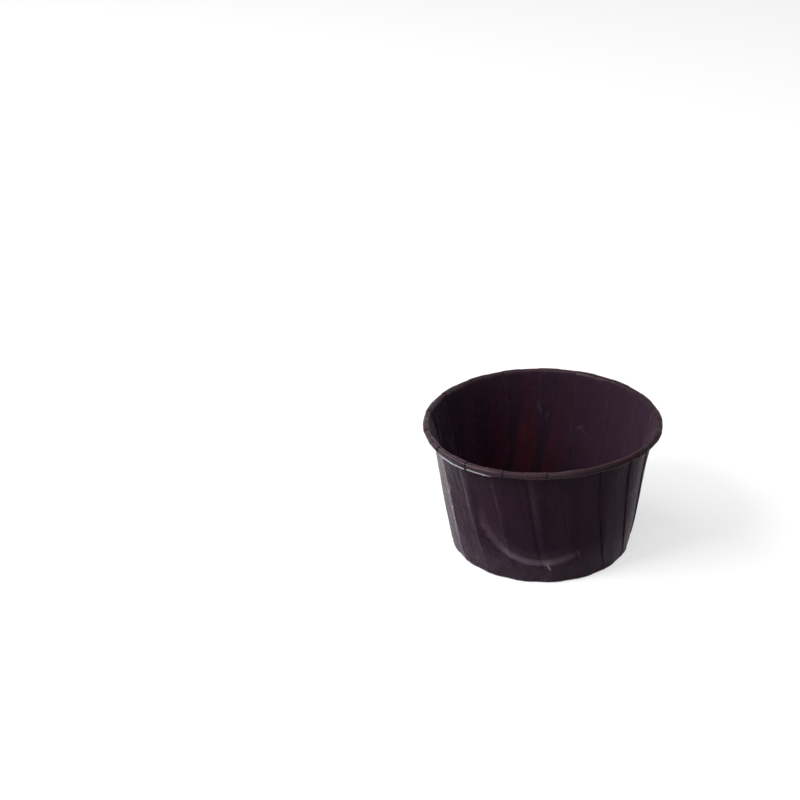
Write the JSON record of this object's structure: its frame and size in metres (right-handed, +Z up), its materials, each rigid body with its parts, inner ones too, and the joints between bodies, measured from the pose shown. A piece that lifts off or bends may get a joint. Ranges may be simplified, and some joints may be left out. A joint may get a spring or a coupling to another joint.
{
  "type": "cupcake liner",
  "caption": "Pleated paper baking cup with a flat round bottom, a flared wall of overlapping knife pleats and a rolled rim.",
  "frame": {"origin": "centre of the flat bottom, on the surface that the cup stands on", "axes": "+Z up along the cup's axis, out of its mouth; +X and +Y lie in the bottom, and +X passes through the foot of one pleat"},
  "size_m": [0.0678, 0.0678, 0.039],
  "materials": {
    "coated_paper": "dark brown greaseproof paper with a smooth glossy coating on both faces"
  },
  "bodies": {
    "root": {"liner": "coated_paper"}
  },
  "joints": []
}
